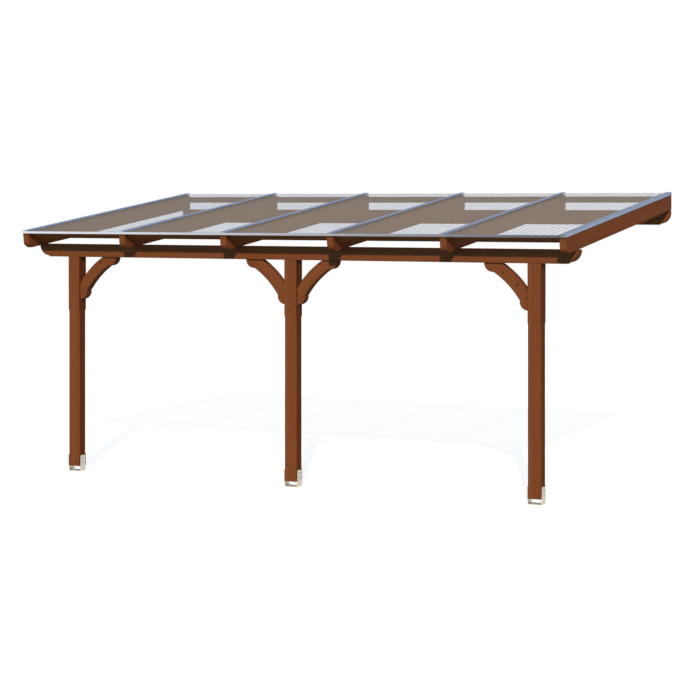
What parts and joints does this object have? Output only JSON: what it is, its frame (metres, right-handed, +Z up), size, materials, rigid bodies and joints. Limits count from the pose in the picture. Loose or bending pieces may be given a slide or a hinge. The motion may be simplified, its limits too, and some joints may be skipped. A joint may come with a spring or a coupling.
{
  "type": "attached patio cover",
  "caption": "Lean-to patio cover with timber posts, arched knee braces, rafters, translucent twin-wall roof sheets and aluminium glazing bars, fixed to a house wall.",
  "frame": {"origin": "middle of the wall purlin's back face, where the cover is fixed to the house wall", "axes": "+Z up, +X along the house wall, +Y into the wall, so the roof slopes down towards -Y"},
  "size_m": [5.414, 2.9775, 2.6461],
  "materials": {
    "timber": "stained laminated softwood",
    "twin_wall": "clear twin-wall sheet",
    "bar_aluminium": "mill aluminium",
    "edge_trim": "pale satin aluminium",
    "galvanised": "hot-dip zinc",
    "seal_rubber": "black seal rubber"
  },
  "bodies": {
    "root": {"bar_gaskets": "seal_rubber", "brace_left": "timber", "brace_middle_left": "timber", "brace_middle_right": "timber", "brace_right": "timber", "front_batten_1": "timber", "front_batten_2": "timber", "front_batten_3": "timber", "front_batten_4": "timber", "front_batten_5": "timber", "front_edge_trim": "edge_trim", "front_purlin": "timber", "glazing_bar_1": "bar_aluminium", "glazing_bar_2": "bar_aluminium", "glazing_bar_3": "bar_aluminium", "glazing_bar_4": "bar_aluminium", "glazing_bar_5": "bar_aluminium", "glazing_bar_6": "bar_aluminium", "post_left": "timber", "post_middle": "timber", "post_right": "timber", "rafter_1": "timber", "rafter_2": "timber", "rafter_3": "timber", "rafter_4": "timber", "rafter_5": "timber", "rafter_6": "timber", "rear_edge_trim": "edge_trim", "roof_sheet_1": "twin_wall", "roof_sheet_2": "twin_wall", "roof_sheet_3": "twin_wall", "roof_sheet_4": "twin_wall", "roof_sheet_5": "twin_wall", "shoe_left": "galvanised", "shoe_middle": "galvanised", "shoe_right": "galvanised", "support_strips": "seal_rubber", "wall_batten_1": "timber", "wall_batten_2": "timber", "wall_batten_3": "timber", "wall_batten_4": "timber", "wall_batten_5": "timber", "wall_purlin": "timber"}
  },
  "joints": []
}
